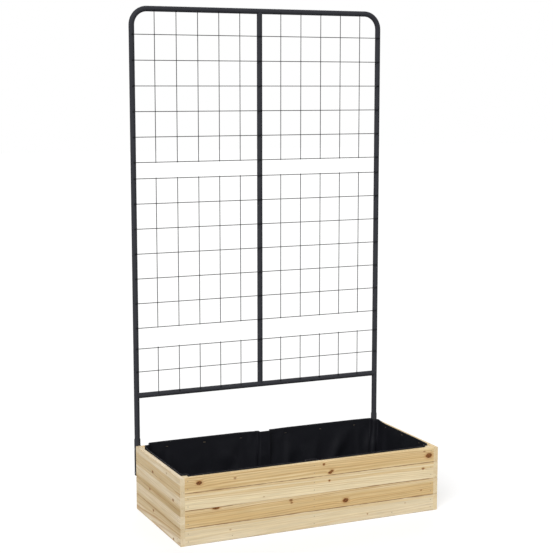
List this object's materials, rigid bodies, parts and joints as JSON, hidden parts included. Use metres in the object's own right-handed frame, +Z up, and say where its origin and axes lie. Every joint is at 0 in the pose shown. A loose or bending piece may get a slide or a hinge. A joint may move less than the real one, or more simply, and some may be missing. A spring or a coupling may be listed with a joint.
{
  "type": "planter with trellis",
  "caption": "Long tongue-and-groove wooden planter box on the floor, with a tall round-tube and wire-mesh trellis bolted behind it.",
  "frame": {"origin": "on the ground, under the middle of the whole object's bounding box", "axes": "+X along the box to the right as seen from the front, +Y to the back, where the trellis stands, +Z up"},
  "size_m": [1.11, 0.533, 2],
  "materials": {
    "board_wood": "sawn softwood with knots, light oil",
    "frame_wood": "raw sawn softwood",
    "tube_coating": "satin black powder coat",
    "wire_coating": "satin black powder coat over welds",
    "liner_fabric": "matt black spun-bond fabric",
    "black_plastic": "fine-grained moulding",
    "nail_steel": "galvanised",
    "zinc_steel": "bright zinc plate",
    "black_screw": "black zinc"
  },
  "bodies": {
    "root": {"back_board_1": "board_wood", "back_board_2": "board_wood", "back_board_3": "board_wood", "back_board_4": "board_wood", "base_slat_1": "frame_wood", "base_slat_2": "frame_wood", "base_slat_3": "frame_wood", "base_slat_4": "frame_wood", "base_slat_5": "frame_wood", "base_slat_6": "frame_wood", "base_slat_7": "frame_wood", "base_slat_8": "frame_wood", "base_slat_9": "frame_wood", "batten_back": "frame_wood", "batten_front": "frame_wood", "bracket_screws": "zinc_steel", "centre_post_lower": "tube_coating", "centre_post_middle": "tube_coating", "centre_post_upper": "tube_coating", "corner_post_back_left": "frame_wood", "corner_post_back_right": "frame_wood", "corner_post_front_left": "frame_wood", "corner_post_front_right": "frame_wood", "crossbar": "tube_coating", "front_board_1": "board_wood", "front_board_2": "board_wood", "front_board_3": "board_wood", "front_board_4": "board_wood", "joint_screws": "black_screw", "ledger_back": "frame_wood", "ledger_front": "frame_wood", "left_board_1": "board_wood", "left_board_2": "board_wood", "left_board_3": "board_wood", "left_board_4": "board_wood", "leg_bolts": "zinc_steel", "leg_bracket_left": "tube_coating", "leg_bracket_right": "tube_coating", "leg_cap_left": "black_plastic", "leg_cap_right": "black_plastic", "leg_nuts": "zinc_steel", "leg_sleeve_left": "tube_coating", "leg_sleeve_right": "tube_coating", "liner": "liner_fabric", "liner_staples": "nail_steel", "mesh_lower": "wire_coating", "mesh_middle": "wire_coating", "mesh_upper": "wire_coating", "nails": "nail_steel", "post_lower_left": "tube_coating", "post_lower_right": "tube_coating", "post_middle_left": "tube_coating", "post_middle_right": "tube_coating", "right_board_1": "board_wood", "right_board_2": "board_wood", "right_board_3": "board_wood", "right_board_4": "board_wood", "trellis_hoop": "tube_coating"}
  },
  "joints": []
}
